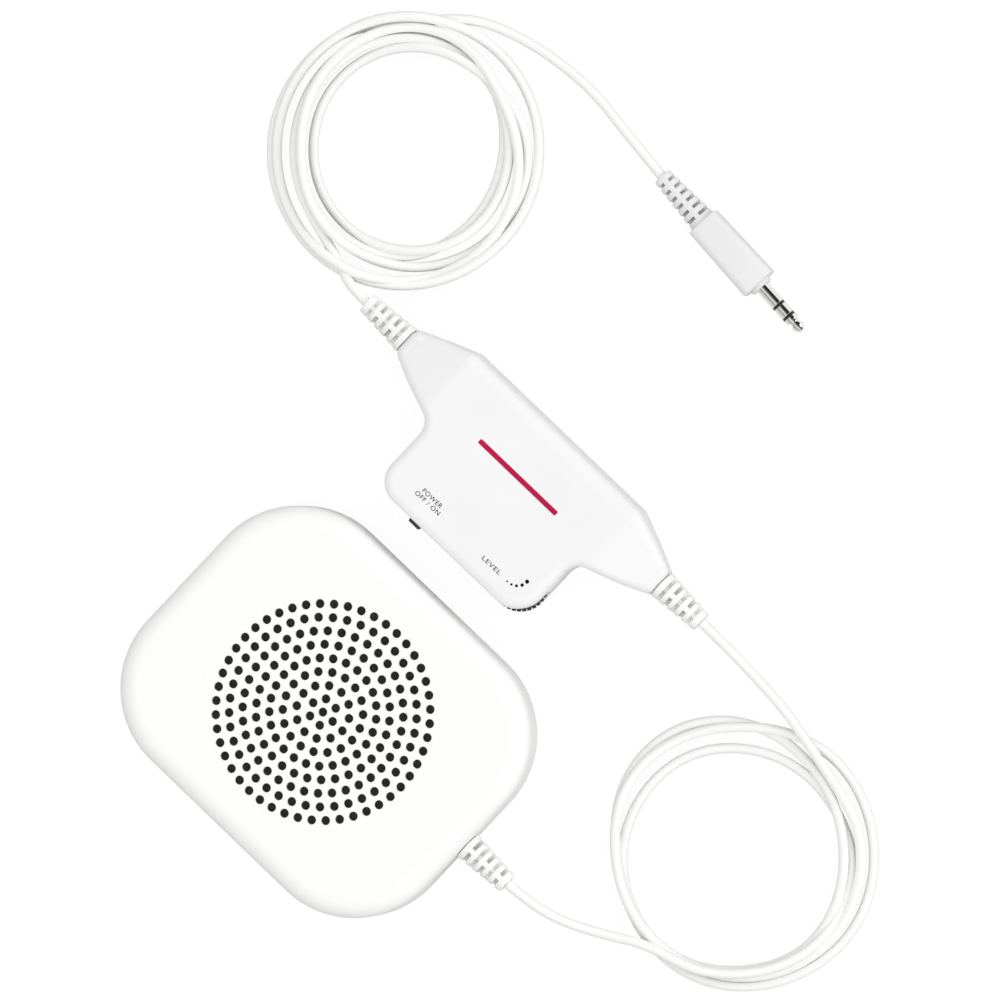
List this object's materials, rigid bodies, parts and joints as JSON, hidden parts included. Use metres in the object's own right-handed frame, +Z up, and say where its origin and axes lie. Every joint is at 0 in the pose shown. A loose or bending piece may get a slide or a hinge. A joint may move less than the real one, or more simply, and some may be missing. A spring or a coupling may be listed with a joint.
{
  "type": "pillow speaker",
  "caption": "Flat pillow loudspeaker with a small in-line battery amplifier, a thumb wheel and slide switch, coiled white cords and a 3.5 mm plug.",
  "frame": {"origin": "centre of the speaker's flat back, on the surface that everything lies on", "axes": "+Z up through the grille, +X along the speaker case to its cord exit, +Y across to the in-line amplifier"},
  "size_m": [0.2349, 0.1845, 0.018],
  "materials": {
    "case_white": "satin moulded plastic, off-white",
    "flex_white": "soft satin moulding, off-white",
    "cord_white": "soft satin cord jacket, off-white",
    "cloth_black": "thin black woven cloth",
    "steel": "zinc-plated steel",
    "paper_cone": "black pressed paper",
    "surround_cloth": "doped cloth",
    "copper": "enamelled copper wire",
    "ferrite": "grey ferrite",
    "gasket_card": "pressed card",
    "board_green": "glass-fibre board with solder mask",
    "black_plastic": "satin black moulding",
    "switch_steel": "tinned steel",
    "can_sleeve": "shrink sleeve",
    "cell_wrap": "printed steel can",
    "nickel": "polished nickel plate",
    "insulator_black": "black insulator"
  },
  "bodies": {
    "case": {"speaker_front_shell": "case_white", "speaker_rear_shell": "case_white", "speaker_case_screws": "steel", "driver_basket": "steel", "driver_surround": "surround_cloth", "driver_spider": "surround_cloth", "driver_gasket": "gasket_card", "driver_front_plate": "steel", "driver_magnet": "ferrite", "driver_yoke": "steel", "grille_cloth": "cloth_black", "terminal_strip": "gasket_card", "speaker_strain_relief": "flex_white", "amp_top_shell": "case_white", "amp_bottom_shell": "case_white", "amp_case_screws": "steel", "amp_input_strain_relief": "flex_white", "amp_output_strain_relief": "flex_white", "battery_cell": "cell_wrap", "battery_contacts": "nickel", "circuit_board": "board_green", "volume_potentiometer": "switch_steel", "switch_body": "switch_steel", "amplifier_chip": "black_plastic", "capacitors": "can_sleeve", "plug_moulding": "flex_white", "plug_sleeve": "nickel", "plug_ring": "nickel", "plug_insulator": "insulator_black", "plug_tip": "nickel", "speaker_cord_start": "cord_white", "speaker_cord_end": "cord_white", "plug_cord_start": "cord_white", "plug_cord_end": "cord_white", "speaker_inner_lead": "cord_white", "amp_input_lead": "cord_white", "amp_output_lead": "cord_white", "speaker_cord_coil": "cord_white", "plug_cord_coil": "cord_white"},
    "wheel": {"volume_wheel": "black_plastic", "volume_wheel_screw": "steel"},
    "knob": {"switch_knob": "black_plastic"},
    "door": {"battery_door": "case_white"},
    "diaphragm": {"driver_cone": "paper_cone", "driver_dust_cap": "paper_cone", "driver_voice_coil": "copper"}
  },
  "joints": [
    {"name": "volume_wheel_turn", "type": "hinge", "parent": "case", "child": "wheel", "pos_m": [0.01225, 0.0527, 0.008], "axis": [0, 0, 1], "range_deg": [-150, 150]},
    {"name": "switch_slide", "type": "slide", "parent": "case", "child": "knob", "axis": [1, 0, 0], "range_m": [0, 0.002]},
    {"name": "battery_door_slide", "type": "slide", "parent": "case", "child": "door", "axis": [0, 1, 0], "range_m": [0, 0.012]},
    {"name": "diaphragm_travel", "type": "slide", "parent": "case", "child": "diaphragm", "axis": [0, 0, 1], "range_m": [-0.0004, 0.0004], "stiffness_N_per_m": 1000, "deforming": ["driver_surround", "driver_spider"]}
  ]
}
